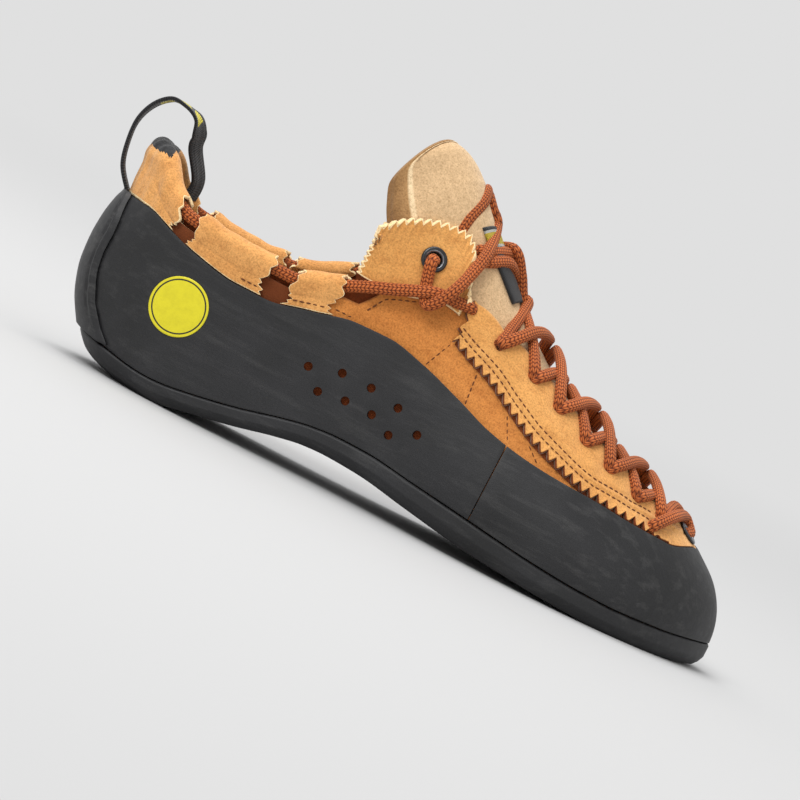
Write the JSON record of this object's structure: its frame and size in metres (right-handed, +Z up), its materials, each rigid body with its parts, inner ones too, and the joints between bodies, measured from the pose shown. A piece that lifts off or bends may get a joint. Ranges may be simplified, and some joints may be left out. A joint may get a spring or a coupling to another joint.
{
  "type": "climbing shoe",
  "caption": "Lace-up rock climbing shoe, right foot, low-cut suede upper with folded laced cuff, rubber rands and sole, padded tongue and heel pull loop, standing empty.",
  "frame": {"origin": "on the floor, at the middle of the flat spot under the heel", "axes": "+X towards the toe, +Y towards the inner (medial) side of the foot, +Z up"},
  "size_m": [0.2665, 0.0907, 0.1257],
  "materials": {
    "rubber": "matt brushed rubber",
    "suede": "tan suede with a soft nap",
    "tongue_cloth": "pale split leather",
    "insole_board": "matt",
    "webbing": "woven, matt",
    "lace": "braided, matt",
    "eyelet": "black enamel"
  },
  "bodies": {
    "root": {"outsole": "rubber", "side_rand": "rubber", "toe_rand": "rubber", "heel_patch": "rubber", "upper": "suede", "eyestay": "suede", "ankle_tab_lateral": "suede", "ankle_tab_medial": "suede", "cuff_heel": "suede", "cuff_lateral_rear": "suede", "cuff_lateral_front": "suede", "cuff_medial_rear": "suede", "cuff_medial_front": "suede", "tongue": "tongue_cloth", "insole": "insole_board", "tongue_label": "webbing", "pull_loop": "webbing", "lace_ankle": "lace", "lace_crossing_1": "lace", "lace_crossing_2": "lace", "lace_crossing_3": "lace", "lace_crossing_4": "lace", "lace_crossing_5": "lace", "lace_crossing_6": "lace", "lace_crossing_7": "lace", "ankle_eyelet_lateral": "eyelet", "ankle_eyelet_medial": "eyelet", "toe_eyelet": "eyelet"}
  },
  "joints": []
}
